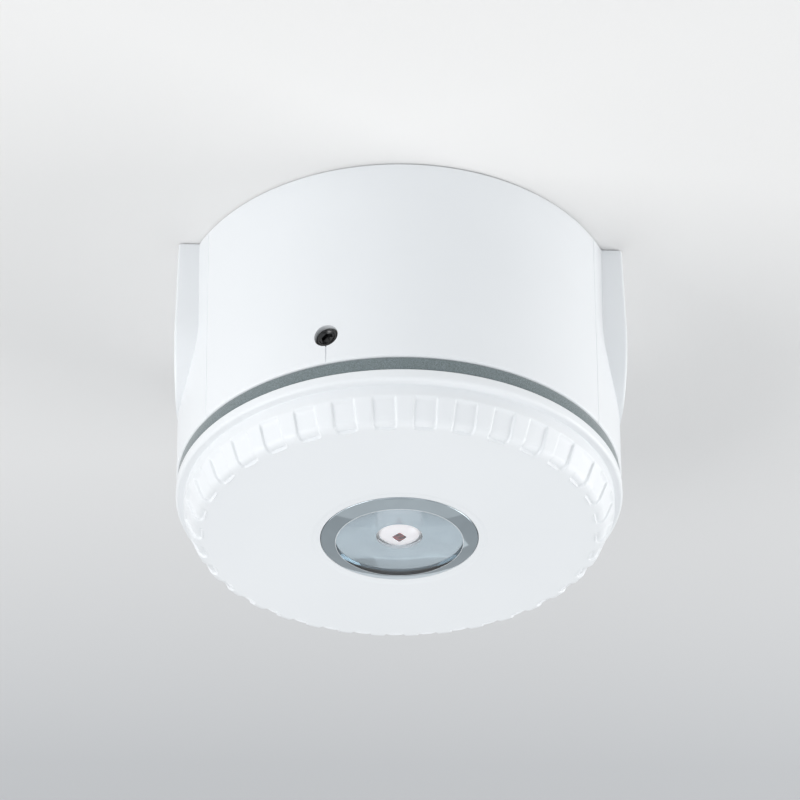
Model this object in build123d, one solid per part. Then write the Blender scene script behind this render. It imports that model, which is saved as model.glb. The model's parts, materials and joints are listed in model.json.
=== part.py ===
from build123d import *
import os
from math import atan, cos, degrees, radians, sin, tan

# Ceiling visual alarm beacon: a deep base with a bayonet head that carries a clear lens.
# Frame: origin at the centre of the ceiling face, +Z up into the ceiling, millimetres.
# Angles are in degrees about +Z from +X. The side with the locking screw faces -Y.

# Base housing
CEILING_R = 52.36
LOWER_R = 50.1
BASE_H = 50.8
BASE_WALL = 2.4
BACK_WALL = 2.5
BASE_LIP_R = 0.6

# Conduit pads on the two sides of the base
PAD_HALF_W = 24.0
PAD_H = 36.5
PAD_CORNER_R = 15.0
PAD_FACE_X = 51.3
PAD_LEAN = 0.021
PAD_INNER_X = 45.5
PAD_BACKING_W = 30.0
PAD_BACKING_LIP = 2.5
CONDUIT_Z = -15.0
CONDUIT_R = 10.0
PLUG_FLANGE_R = 12.5
PLUG_FLANGE_X = 49.2
PLUG_FACE_X = 50.6
COIN_SLOT_W = 2.0
COIN_SLOT_L = 14.0
COIN_SLOT_DEPTH = 0.8

# Ceiling fixings and rear cable entry
SLOT_SPACING = 60.0
SLOT_LENGTH = 9.0
SLOT_WIDTH = 4.5
REAR_ENTRY_X = 18.0
REAR_ENTRY_R = 10.5
GROMMET_BORE_R = 5.0
GROMMET_LIP = 2.0
GROMMET_LIP_T = 1.5

# Seal ring in the ceiling face
SEAL_OUT_R = 47.0
SEAL_IN_R = 44.0
SEAL_DEPTH = 1.6

# Screw posts and contact carrier
POST_R = 4.0
POST_CIRCLE_R = 38.0
POST_ANGLES = (45.0, 165.0, 285.0)
POST_PILOT_R = 1.3
POST_PILOT_DEPTH = 12.0
CARRIER_R = 46.8
CARRIER_TOP = -33.0
CARRIER_T = 2.5
CARRIER_HOLE_R = 12.0
CARRIER_SCREW_HOLE_R = 1.8
COLLAR_WALL = 2.0
COLLAR_H = 3.0

# Screws: head radius and height, shank radius and length, half the width of the drive
CARRIER_SCREW = (3.2, 2.1, 1.3, 11.0, 1.9)
TERMINAL_SCREW = (2.4, 1.3, 1.5, 3.4, 1.5)
PLATE_SCREW = (2.8, 1.7, 1.3, 10.5, 1.6)
REFLECTOR_SCREW = (1.9, 1.2, 0.9, 2.5, 1.1)
BOARD_SCREW = (1.5, 1.0, 0.7, 2.6, 0.9)
DRIVE_SLOT_W = 0.5

# Bayonet: hooks of the head pass through slots of the carrier
HOOK_ANGLES = (105.0, 225.0, 345.0)
HOOK_HALF_DEG = 5.0
HOOK_IN_R = 39.5
HOOK_OUT_R = 41.5
TOE_OUT_R = 43.8
TOE_T = 1.8
TWIST_DEG = 20.0
TRACK_SLACK_DEG = 1.0
BAYONET_GAP = 0.3

# Terminals and contacts
TERMINAL_ANGLES = (20.0, 75.0, 135.0, 195.0, 255.0)
TERMINAL_R = 30.0
TERMINAL_SIZE = (8.0, 7.0, 6.0)
TERMINAL_SCREW_X = -2.4
CONTACT_R = 20.0
CONTACT_GAP = 0.25
BLADE_SIZE = 5.0
BLADE_H = 2.2
BLADE_T = 0.6
TAIL_X = 1.6
LEAF_T = 0.4
LEAF_FOOT = 2.8
LEAF_KICK = 0.7
SHORTING_ANGLE = 315.0

# Gasket between base and head
GASKET_H = 3.15
GASKET_OUT_R = 49.75
GASKET_IN_R = 46.4
GASKET_LIP_H = 2.0

# Locking screw in the near side of the base
LOCK_ANGLE = -109.3
LOCK_Z = -44.0
LOCK_SCREW_R = 2.45
LOCK_INSERT_R = 3.6
LOCK_BOSS_R = 4.6
LOCK_OUT = 49.7
LOCK_IN = 46.25
LOCK_TIP_END = 45.78
LOCK_SOCKET_R = 1.4
LOCK_SOCKET_DEPTH = 1.6
LOCK_PIN_R = 1.2
LOCK_BOSS_IN = LOCK_IN + 0.15
LOCK_INSERT_OUT = LOCK_OUT - 0.9
LOCK_LINE_W = 0.3

# Head cover
RIM_TOP = -54.05
RIM_R = 50.0
RIM_EDGE_R = 0.8
LEDGE_Z = -56.5
DRUM_R = 48.0
SLOPE_TOP_Z = -59.2
SLOPE_DEG = 25.3
FACE_Z = -64.63
FACE_EDGE_R = 2.5
COVER_WALL = 2.0
LENS_HOLE_R = 17.6
FACE_DISH_R = 19.2
RECESS_COUNT = 35
RECESS_PHASE = 7.36
RECESS_W = 4.7
RECESS_DEPTH = 0.5
RECESS_INNER_R = 43.6
RECESS_TOP_Z = -59.5

# Rear plate of the head
SKIRT_R = 45.6
SKIRT_T = 2.0
SKIRT_TOP = -41.0
SKIRT_BOTTOM = -58.5
PLATE_TOP = -46.0
PLATE_T = 2.0
BOSS_CIRCLE_R = 34.0
BOSS_ANGLES = (45.0, 165.0, 285.0)
BOSS_R = 3.5
BOSS_FOOT_R = 5.0
PLATE_PEG_R = 2.0
SEAL_CORD_R = 0.7
SEAL_Z = -57.0

# Boards and lamp
HEADER_Y = -8.0
EAR_CIRCLE_R = 23.5
EAR_ANGLES = (0.0, 120.0, 240.0)
EAR_R = 2.6
PCB_R = 41.0
PCB_TOP = -52.0
PCB_T = 1.6
LENS_R = 17.45
LENS_FRONT_R = 14.2
LENS_FRONT_Z = -65.4
LENS_FLANGE_R = 20.5
LENS_FLANGE_Z = -60.8
LENS_FLANGE_T = 1.2
LENS_BORE_R = 16.1
WINDOW_T = 0.9
REFLECTOR_R = 15.9
REFLECTOR_RIM_Z = -64.3
REFLECTOR_EYE_R = 5.8
REFLECTOR_EYE_Z = -63.4
LED_BOARD_R = 11.0
LED_BOARD_Z = -61.9
LED_BOARD_T = 1.5
LED_SCREW_X = (-9.0, 9.0)
PACKAGE_SIZE = 5.0
PACKAGE_T = 0.55
DIE_SIZE = 2.0
DIE_T = 0.25
DOME_R = 4.9
DOME_APEX_Z = -64.4
DOME_BASE_Z = -62.4

# Parts on the control board
HEADER_SIZE = (8.6, 2.5, 2.5)
HEADER_PIN_R = 0.32
HEADER_HOLE_R = 0.34
CAPACITOR_R = 3.15
CAPACITOR_H = 5.5
CAPACITOR_CIRCLE_R = 28.0
CAPACITOR_ANGLES = (196.0, 212.0, 228.0)
INDUCTOR_R = 3.6
INDUCTOR_H = 4.0
DRIVER_SIZE = (6.0, 5.0, 1.6)
DECODER_SIZE = (7.0, 7.0, 1.4)

# Option switch on the control board
DIP_Y = 27.0
DIP_SIZE = (10.4, 6.2, 3.4)
DIP_PITCH = 2.2
DIP_KNOB = (1.0, 1.1)
DIP_TRAVEL = 1.5
DIP_SLACK = 0.12


def spin(radius, angle, z=0.0):
    """Location at a radius and angle about +Z, its local X pointing outwards."""
    return Pos(radius * cos(radians(angle)), radius * sin(radians(angle)), z) * Rot(0, 0, angle)


def cylinder(radius, low, high):
    """Upright cylinder about the local Z between two heights."""
    return Pos(0, 0, low) * extrude(Circle(radius), high - low)


def ring(outer, inner, low, high):
    """Upright ring about the local Z between two heights."""
    return Pos(0, 0, low) * extrude(Circle(outer) - Circle(inner), high - low)


def block(size_x, size_y, low, high):
    """Upright block centred on the local Z between two heights."""
    return Pos(0, 0, (low + high) / 2) * Box(size_x, size_y, high - low)


def sector(outer, inner, start, end, low, high):
    """Part of a ring from one angle to another."""
    middle = (start + end) / 2
    half = radians((end - start) / 2)
    reach = outer * 1.5
    wedge = Polygon(
        (0, 0), (reach * cos(half), -reach * sin(half)), (reach * cos(half), reach * sin(half)), align=None
    )
    return Rot(0, 0, middle) * Pos(0, 0, low) * extrude((Circle(outer) - Circle(inner)) & wedge, high - low)


def turned(points):
    """Solid of revolution about Z from an outline of (radius, height) points."""
    outline = Polyline([(r, 0, z) for r, z in points], close=True)
    return revolve(make_face(outline), Axis.Z)


def group(solids):
    """Several separate solids as one node."""
    return Compound(children=list(solids))


def wall_r(z):
    """Outer radius of the base at a height."""
    return CEILING_R + (CEILING_R - LOWER_R) * z / BASE_H


def pad_outline():
    """Rounded outline of a conduit pad, seen from the side: local X is Y, local Y is Z."""
    tall = RectangleRounded(2 * PAD_HALF_W, 2 * PAD_H, PAD_CORNER_R)
    return tall & Pos(0, -PAD_H / 2) * Rectangle(2 * PAD_HALF_W, PAD_H)


def pad_prism(reach):
    """Conduit pad from the middle of the base out to its face, or past it by reach."""
    side = Plane(origin=(0, 0, 0), x_dir=(0, 1, 0), z_dir=(1, 0, 0))
    prism = extrude(side * pad_outline(), PAD_FACE_X + reach)
    lean = degrees(atan(PAD_LEAN))
    beyond = Pos(PAD_FACE_X, 0, 0) * Rot(0, lean, 0) * Pos(10, 0, -PAD_H / 2) * Box(20, 80, 2 * PAD_H)
    if reach:
        return prism & beyond
    return prism - beyond


def base_housing():
    shell = turned([(0, 0), (CEILING_R, 0), (LOWER_R, -BASE_H), (0, -BASE_H)])
    rim = shell.edges().filter_by(GeomType.CIRCLE).sort_by(Axis.Z)[0]
    shell = fillet(rim, BASE_LIP_R)
    for side in (0, 180):
        shell -= Rot(0, 0, side) * pad_prism(5.0)
        shell += Rot(0, 0, side) * pad_prism(0.0)
    inner_top = wall_r(-BACK_WALL) - BASE_WALL
    inner_low = LOWER_R - BASE_WALL
    cavity = turned([(0, -BACK_WALL), (inner_top, -BACK_WALL), (inner_low, -BASE_H), (0, -BASE_H)])
    backing_low = CONDUIT_Z - PLUG_FLANGE_R - PAD_BACKING_LIP
    backing = block(CEILING_R - PAD_INNER_X, PAD_BACKING_W, backing_low, 0)
    for side in (0, 180):
        cavity -= Rot(0, 0, side) * Pos((PAD_INNER_X + CEILING_R) / 2, 0, 0) * backing
    for angle in POST_ANGLES:
        cavity -= spin(POST_CIRCLE_R, angle) * cylinder(POST_R, CARRIER_TOP, 0)
    lock_axis = lock_plane(0)
    boss = lock_axis * cylinder(LOCK_BOSS_R, LOCK_BOSS_IN, CEILING_R)
    cavity -= boss
    shell -= cavity
    pilot = cylinder(POST_PILOT_R, CARRIER_TOP, CARRIER_TOP + POST_PILOT_DEPTH)
    for angle in POST_ANGLES:
        shell -= spin(POST_CIRCLE_R, angle) * pilot
    for side in (0, 180):
        entry = Rot(0, 0, side) * Pos(0, 0, CONDUIT_Z) * Rot(0, 90, 0)
        shell -= entry * cylinder(CONDUIT_R, PAD_INNER_X - 1, CEILING_R + 1)
        shell -= entry * cylinder(PLUG_FLANGE_R + 0.2, PLUG_FLANGE_X, CEILING_R + 1)
    shell -= lock_axis * cylinder(LOCK_SCREW_R + 0.15, LOCK_IN - 1, CEILING_R)
    shell -= lock_axis * cylinder(LOCK_INSERT_R, LOCK_IN - 1, LOCK_INSERT_OUT)
    line = block(0.4, LOCK_LINE_W, -BASE_H, LOCK_Z - LOCK_SCREW_R - 0.15)
    shell -= spin(wall_r(LOCK_Z - 5), LOCK_ANGLE) * line
    shell -= ring(SEAL_OUT_R, SEAL_IN_R, -SEAL_DEPTH, 0)
    shell -= Pos(REAR_ENTRY_X, 0, 0) * cylinder(REAR_ENTRY_R, -BACK_WALL, 0)
    slot = Rot(0, 0, 90) * extrude(SlotOverall(SLOT_LENGTH, SLOT_WIDTH), BACK_WALL)
    for place in (SLOT_SPACING / 2, -SLOT_SPACING / 2):
        shell -= Pos(0, place, -BACK_WALL) * slot
    return shell


def lock_plane(distance):
    """Location on the locking screw's axis, local Z pointing outwards."""
    x_out = cos(radians(LOCK_ANGLE))
    y_out = sin(radians(LOCK_ANGLE))
    return Location(Plane(origin=(x_out * distance, y_out * distance, LOCK_Z), z_dir=(x_out, y_out, 0)))


def ceiling_seal():
    return ring(SEAL_OUT_R - 0.15, SEAL_IN_R + 0.15, -SEAL_DEPTH, 0)


def base_gasket():
    low = -BASE_H - GASKET_H
    body = ring(GASKET_OUT_R, GASKET_IN_R, low, -BASE_H)
    lip = ring(LOWER_R - BASE_WALL - 0.1, GASKET_IN_R, -BASE_H, -BASE_H + GASKET_LIP_H)
    gasket = body + lip
    return gasket - lock_plane(0) * cylinder(LOCK_BOSS_R + 0.3, LOCK_IN - 1, LOWER_R)


def cable_grommet():
    hub = cylinder(REAR_ENTRY_R, -BACK_WALL, -0.3)
    flange = cylinder(REAR_ENTRY_R + GROMMET_LIP, -BACK_WALL - GROMMET_LIP_T, -BACK_WALL)
    grommet = hub + flange - cylinder(GROMMET_BORE_R, -BACK_WALL - 2, 0)
    return Pos(REAR_ENTRY_X, 0, 0) * grommet


def conduit_plug(side):
    stem = cylinder(CONDUIT_R - 0.1, PAD_INNER_X - 1, PLUG_FLANGE_X)
    flange = cylinder(PLUG_FLANGE_R, PLUG_FLANGE_X, PLUG_FACE_X)
    hollow = cylinder(CONDUIT_R - 2.0, PAD_INNER_X - 2, PLUG_FLANGE_X - 1.0)
    coin_slot = block(COIN_SLOT_W, COIN_SLOT_L, PLUG_FACE_X - COIN_SLOT_DEPTH, PLUG_FACE_X + 1)
    plug = stem + flange - hollow - coin_slot
    return Rot(0, 0, side) * Pos(0, 0, CONDUIT_Z) * Rot(0, 90, 0) * plug


def contact_carrier():
    low = CARRIER_TOP - CARRIER_T
    disc = ring(CARRIER_R, CARRIER_HOLE_R, low, CARRIER_TOP)
    collar = ring(CARRIER_HOLE_R + COLLAR_WALL, CARRIER_HOLE_R, low - COLLAR_H, low)
    disc = disc + collar
    slack = HOOK_HALF_DEG + TRACK_SLACK_DEG
    for angle in HOOK_ANGLES:
        track = sector(
            HOOK_OUT_R + BAYONET_GAP, HOOK_IN_R - BAYONET_GAP, angle - TWIST_DEG - slack, angle + slack,
            low - 1, CARRIER_TOP + 1,
        )
        window = sector(
            TOE_OUT_R + BAYONET_GAP, HOOK_IN_R - BAYONET_GAP, angle - TWIST_DEG - slack,
            angle - TWIST_DEG + slack, low - 1, CARRIER_TOP + 1,
        )
        disc = disc - track - window
    for angle in POST_ANGLES:
        disc -= spin(POST_CIRCLE_R, angle) * cylinder(CARRIER_SCREW_HOLE_R, low, CARRIER_TOP)
    return disc


def screw(head_r, head_h, shank_r, shank_l, drive_r):
    """Pan-head screw, head below the origin, shank up along +Z, with a crossed drive."""
    head = cylinder(head_r, -head_h, 0)
    head = fillet(head.edges().filter_by(GeomType.CIRCLE).sort_by(Axis.Z)[0], head_h * 0.45)
    drive = block(2 * drive_r, DRIVE_SLOT_W, -head_h, -head_h * 0.45)
    return head + cylinder(shank_r, 0, shank_l) - drive - Rot(0, 0, 90) * drive


def carrier_screws():
    low = CARRIER_TOP - CARRIER_T
    return group([spin(POST_CIRCLE_R, a, low) * screw(*CARRIER_SCREW) for a in POST_ANGLES])


def terminal_clamps():
    size_x, size_y, size_z = TERMINAL_SIZE
    top = CARRIER_TOP - CARRIER_T
    cage = block(size_x, size_y, top - size_z, top)
    cage -= Pos(1.5, 0, 0) * block(5.0, size_y + 1, top - size_z + 1.2, top - 2.2)
    cage -= Pos(TERMINAL_SCREW_X, 0, 0) * cylinder(TERMINAL_SCREW[2], top - size_z, top - size_z + 3.6)
    return group([spin(TERMINAL_R, a) * cage for a in TERMINAL_ANGLES])


def terminal_screws():
    low = CARRIER_TOP - CARRIER_T - TERMINAL_SIZE[2]
    item = Pos(TERMINAL_SCREW_X, 0, low) * screw(*TERMINAL_SCREW)
    return group([spin(TERMINAL_R, a) * item for a in TERMINAL_ANGLES])


def contact_top():
    """Height of the contact faces where base leaf and head blade meet."""
    return PLATE_TOP + BLADE_H


def leaf(length, drop, width):
    """Bent leaf: a flat foot along local X from the origin, a slope down and a kicked-up end."""
    line = Polyline((LEAF_FOOT, 0), (0, 0), (-length * 0.75, -drop), (-length, -drop + LEAF_KICK))
    upright = Plane(origin=(0, width / 2, 0), x_dir=(1, 0, 0), z_dir=(0, -1, 0))
    return extrude(upright * trace(line, LEAF_T), width)


def contact_springs():
    top = CARRIER_TOP - CARRIER_T
    start = TERMINAL_R - TERMINAL_SIZE[0] / 2 - 3.0
    drop = top - contact_top() - CONTACT_GAP - LEAF_T
    item = Pos(start, 0, top - LEAF_T / 2) * leaf(5.0, drop, 4.0)
    return group([Rot(0, 0, a) * item for a in TERMINAL_ANGLES])


def shorting_spring():
    top = CARRIER_TOP - CARRIER_T
    return Rot(0, 0, SHORTING_ANGLE) * Pos(TERMINAL_R, 0, top - LEAF_T / 2) * leaf(9.0, 4.0, 5.0)


def lock_insert():
    return lock_plane(0) * ring(LOCK_INSERT_R, LOCK_SCREW_R + 0.08, LOCK_BOSS_IN, LOCK_INSERT_OUT)


def lock_screw():
    body = cylinder(LOCK_SCREW_R, LOCK_IN, LOCK_OUT)
    body = fillet(body.edges().filter_by(GeomType.CIRCLE).sort_by(Axis.Z)[-1], 0.35)
    socket = extrude(RegularPolygon(LOCK_SOCKET_R, 6), LOCK_SOCKET_DEPTH)
    socket = Pos(0, 0, LOCK_OUT - LOCK_SOCKET_DEPTH) * socket
    tip_hole = cylinder(LOCK_PIN_R + 0.05, LOCK_IN, LOCK_IN + 1.5)
    return lock_plane(0) * (body - socket - tip_hole)


def lock_tip():
    pad = cylinder(1.8, LOCK_TIP_END, LOCK_IN - 0.05)
    stem = cylinder(LOCK_PIN_R, LOCK_IN - 0.05, LOCK_IN + 1.4)
    return lock_plane(0) * (pad + stem)


def drum(inset):
    """Drum of the cover with its wall, slope and face moved inwards by inset."""
    slope = tan(radians(SLOPE_DEG))
    shift = inset / cos(radians(SLOPE_DEG))
    knee_z = SLOPE_TOP_Z + (shift - inset) / slope
    low_z = FACE_Z + inset
    low_r = DRUM_R - shift - (SLOPE_TOP_Z - low_z) * slope
    side_r = DRUM_R - inset
    body = turned([(0, RIM_TOP), (side_r, RIM_TOP), (side_r, knee_z), (low_r, low_z), (0, low_z)])
    corner = body.edges().filter_by(GeomType.CIRCLE).sort_by(Axis.Z)[0]
    return fillet(corner, FACE_EDGE_R - inset)


def recess_prisms():
    """Upright prisms with rounded inner ends, one for each recess round the drum."""
    inner = RECESS_INNER_R
    outer = RIM_R + 4
    plan = Pos(inner + outer, 0) * RectangleRounded(2 * outer, RECESS_W, 1.0)
    prism = Pos(0, 0, FACE_Z - 1) * extrude(plan, RECESS_TOP_Z - FACE_Z + 1)
    return [Rot(0, 0, RECESS_PHASE + k * 360 / RECESS_COUNT) * prism for k in range(RECESS_COUNT)]


def front_cover():
    rim = cylinder(RIM_R, LEDGE_Z, RIM_TOP)
    rim = fillet(rim.edges().filter_by(GeomType.CIRCLE).sort_by(Axis.Z)[0], RIM_EDGE_R)
    body = rim + drum(0)
    skin = drum(0) - drum(RECESS_DEPTH)
    for prism in recess_prisms():
        body -= skin & prism
    body -= drum(COVER_WALL)
    dish = turned([(0, FACE_Z - 1), (FACE_DISH_R + 10, FACE_Z - 1), (FACE_DISH_R, FACE_Z), (0, FACE_Z + 1.5)])
    body -= dish
    body -= cylinder(LENS_HOLE_R, FACE_Z - 1, FACE_Z + COVER_WALL + 1)
    inner_z = FACE_Z + COVER_WALL
    for angle in BOSS_ANGLES:
        boss = cylinder(BOSS_R, inner_z, PLATE_TOP - PLATE_T)
        boss += cylinder(BOSS_FOOT_R, inner_z, PCB_TOP - PCB_T)
        boss -= cylinder(PLATE_SCREW[2], PLATE_TOP - PLATE_T - 9, PLATE_TOP)
        body += spin(BOSS_CIRCLE_R, angle) * boss
    for angle in EAR_ANGLES:
        boss = cylinder(2.4, inner_z, LENS_FLANGE_Z) - cylinder(0.9, inner_z, LENS_FLANGE_Z)
        body += spin(EAR_CIRCLE_R, angle) * boss
    return body


def rear_plate():
    low = PLATE_TOP - PLATE_T
    body = cylinder(SKIRT_R, low, PLATE_TOP)
    body += ring(SKIRT_R, SKIRT_R - SKIRT_T, SKIRT_BOTTOM, SKIRT_TOP)
    body -= ring(SKIRT_R + 1, SKIRT_R - 0.3 - SEAL_CORD_R * 1.2, SEAL_Z - 0.85, SEAL_Z + 0.85)
    toe_low = CARRIER_TOP + 0.2
    for angle in HOOK_ANGLES:
        start = angle - HOOK_HALF_DEG
        end = angle + HOOK_HALF_DEG
        body += sector(HOOK_OUT_R, HOOK_IN_R, start, end, PLATE_TOP, toe_low + TOE_T)
        body += sector(TOE_OUT_R, HOOK_IN_R, start, end, toe_low, toe_low + TOE_T)
    for angle in BOSS_ANGLES:
        body -= spin(BOSS_CIRCLE_R, angle) * cylinder(1.6, low, PLATE_TOP)
        body += spin(POST_CIRCLE_R, angle + 40) * cylinder(PLATE_PEG_R, PCB_TOP, low)
    for tail in blade_tails(0.55):
        body -= tail
    body -= Pos(0, DIP_Y, 0) * block(DIP_SIZE[0] + 1.0, DIP_SIZE[1] + 1.0, low, PLATE_TOP)
    return body


def rear_plate_screws():
    item = Rot(180, 0, 0) * screw(*PLATE_SCREW)
    return group([spin(BOSS_CIRCLE_R, a, PLATE_TOP) * item for a in BOSS_ANGLES])


def cover_seal():
    section = Pos(SKIRT_R - 0.3, 0) * Circle(SEAL_CORD_R)
    return Pos(0, 0, SEAL_Z) * revolve(Plane.XZ * section, Axis.Z)


def blade_tails(radius):
    """Solder tails of the contact blades, or the holes they pass through."""
    tail = cylinder(radius, PCB_TOP, PLATE_TOP)
    return [spin(CONTACT_R + TAIL_X, a) * tail for a in TERMINAL_ANGLES]


def contact_blades():
    top = contact_top()
    arch = block(BLADE_SIZE, BLADE_SIZE, PLATE_TOP, top)
    arch -= Pos(1.0, 0, 0) * block(BLADE_SIZE, BLADE_SIZE + 1, PLATE_TOP + BLADE_T, top - BLADE_T)
    blades = [spin(CONTACT_R, a) * arch for a in TERMINAL_ANGLES]
    return group([blade + tail for blade, tail in zip(blades, blade_tails(0.5))])


def header_pins(radius):
    """Pins that join the lamp board to the control board, or their holes."""
    pin = cylinder(radius, LED_BOARD_Z + LED_BOARD_T, PCB_TOP + 0.8)
    return [Pos(x, HEADER_Y, 0) * pin for x in (-3.0, -1.0, 1.0, 3.0)]


def control_pcb():
    board = cylinder(PCB_R, PCB_TOP - PCB_T, PCB_TOP)
    for angle in BOSS_ANGLES:
        board -= spin(BOSS_CIRCLE_R, angle) * cylinder(BOSS_R + 0.3, PCB_TOP - PCB_T, PCB_TOP)
    for pin in header_pins(HEADER_HOLE_R):
        board -= pin
    return board


def led_header():
    low = PCB_TOP - PCB_T
    size_x, size_y, size_z = HEADER_SIZE
    strip = Pos(0, HEADER_Y, 0) * block(size_x, size_y, low - size_z, low)
    for pin in header_pins(HEADER_HOLE_R):
        strip -= pin
    return strip


def led_header_pins():
    return group(header_pins(HEADER_PIN_R))


def capacitors():
    low = PCB_TOP - PCB_T
    can = cylinder(CAPACITOR_R, low - CAPACITOR_H, low)
    can = fillet(can.edges().filter_by(GeomType.CIRCLE).sort_by(Axis.Z)[0], 0.5)
    return group([spin(CAPACITOR_CIRCLE_R, a) * can for a in CAPACITOR_ANGLES])


def inductor():
    low = PCB_TOP - PCB_T
    winding = ring(INDUCTOR_R + 0.4, INDUCTOR_R - 1.4, low - INDUCTOR_H + 0.8, low - 0.8)
    return spin(27.0, 320.0) * (cylinder(INDUCTOR_R, low - INDUCTOR_H, low) - winding)


def ic_chips():
    low = PCB_TOP - PCB_T
    under = block(DRIVER_SIZE[0], DRIVER_SIZE[1], low - DRIVER_SIZE[2], low)
    over = block(DECODER_SIZE[0], DECODER_SIZE[1], PCB_TOP, PCB_TOP + DECODER_SIZE[2])
    return group([spin(26.0, 10.0) * under, spin(27.0, 120.0) * under, Pos(-2, 10, 0) * over])


def dip_slots():
    """Upright slots of the option switch, one for each slider."""
    top = PCB_TOP + DIP_SIZE[2]
    size_x = DIP_KNOB[0] + 2 * DIP_SLACK
    size_y = DIP_KNOB[1] + DIP_TRAVEL + 2 * DIP_SLACK
    return [Pos((k - 1.5) * DIP_PITCH, DIP_Y, 0) * block(size_x, size_y, top - 1.6, top) for k in range(4)]


def dip_switch_body():
    size_x, size_y, size_z = DIP_SIZE
    body = Pos(0, DIP_Y, 0) * block(size_x, size_y, PCB_TOP, PCB_TOP + size_z)
    for slot in dip_slots():
        body -= slot
    return body


def dip_slider(number):
    """Slider of the option switch; odd ones rest at one end of their slot, even ones at the other."""
    top = PCB_TOP + DIP_SIZE[2]
    end = -1 if number % 2 else 1
    place = Pos((number - 2.5) * DIP_PITCH, DIP_Y + end * DIP_TRAVEL / 2, 0)
    return place * block(DIP_KNOB[0], DIP_KNOB[1], top - 1.5, top + 0.7)


def lens():
    flange_low = LENS_FLANGE_Z - LENS_FLANGE_T
    bevel_z = FACE_Z + 0.13
    inner_z = LENS_FRONT_Z + WINDOW_T
    return turned([
        (0, LENS_FRONT_Z), (LENS_FRONT_R, LENS_FRONT_Z), (LENS_R, bevel_z), (LENS_R, flange_low),
        (LENS_FLANGE_R, flange_low), (LENS_FLANGE_R, LENS_FLANGE_Z), (LENS_BORE_R, LENS_FLANGE_Z),
        (LENS_BORE_R, inner_z), (0, inner_z),
    ])


def lens_seal():
    return ring(LENS_FLANGE_R, 18.0, FACE_Z + COVER_WALL, LENS_FLANGE_Z - LENS_FLANGE_T)


def reflector():
    skirt_in = REFLECTOR_R - 0.8
    flange_top = LENS_FLANGE_Z + 0.8
    body = turned([
        (REFLECTOR_EYE_R, REFLECTOR_EYE_Z), (skirt_in, REFLECTOR_RIM_Z), (REFLECTOR_R, REFLECTOR_RIM_Z),
        (REFLECTOR_R, LENS_FLANGE_Z), (LENS_FLANGE_R, LENS_FLANGE_Z), (LENS_FLANGE_R, flange_top),
        (skirt_in, flange_top), (skirt_in, REFLECTOR_RIM_Z + 0.9), (REFLECTOR_EYE_R, REFLECTOR_EYE_Z + 0.8),
    ])
    for angle in EAR_ANGLES:
        ear = cylinder(EAR_R, LENS_FLANGE_Z, flange_top)
        ear += Pos(-2.2, 0, 0) * block(4.4, 2 * EAR_R, LENS_FLANGE_Z, flange_top)
        ear -= cylinder(REFLECTOR_SCREW[2] + 0.2, LENS_FLANGE_Z, flange_top)
        body += spin(EAR_CIRCLE_R, angle) * ear
    for side in LED_SCREW_X:
        body += Pos(side, 0, 0) * cylinder(1.6, REFLECTOR_EYE_Z - 0.1, LED_BOARD_Z)
        body -= Pos(side, 0, 0) * cylinder(BOARD_SCREW[2], REFLECTOR_EYE_Z + 0.3, LED_BOARD_Z)
    return body


def reflector_screws():
    item = Rot(180, 0, 0) * screw(*REFLECTOR_SCREW)
    return group([spin(EAR_CIRCLE_R, a, LENS_FLANGE_Z + 0.8) * item for a in EAR_ANGLES])


def led_board():
    board = cylinder(LED_BOARD_R, LED_BOARD_Z, LED_BOARD_Z + LED_BOARD_T)
    for side in LED_SCREW_X:
        board -= Pos(side, 0, 0) * cylinder(BOARD_SCREW[2] + 0.2, LED_BOARD_Z, LED_BOARD_Z + LED_BOARD_T)
    return board


def led_board_screws():
    item = Rot(180, 0, 0) * screw(*BOARD_SCREW)
    return group([Pos(side, 0, LED_BOARD_Z + LED_BOARD_T) * item for side in LED_SCREW_X])


def led_package():
    return block(PACKAGE_SIZE, PACKAGE_SIZE, LED_BOARD_Z - PACKAGE_T, LED_BOARD_Z)


def led_die():
    top = LED_BOARD_Z - PACKAGE_T
    return Rot(0, 0, 45) * block(DIE_SIZE, DIE_SIZE, top - DIE_T, top)


def led_lens():
    height = DOME_BASE_Z - DOME_APEX_Z
    ball_r = (DOME_R ** 2 + height ** 2) / (2 * height)
    ball = Pos(0, 0, DOME_APEX_Z + ball_r) * Sphere(ball_r)
    dome = ball & cylinder(DOME_R + 1, DOME_APEX_Z - 1, DOME_BASE_Z)
    foot = cylinder(DOME_R + 0.7, DOME_BASE_Z, LED_BOARD_Z)
    pocket_size = PACKAGE_SIZE + 0.4
    pocket = block(pocket_size, pocket_size, LED_BOARD_Z - PACKAGE_T - DIE_T - 0.05, LED_BOARD_Z)
    return dome + foot - pocket


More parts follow.
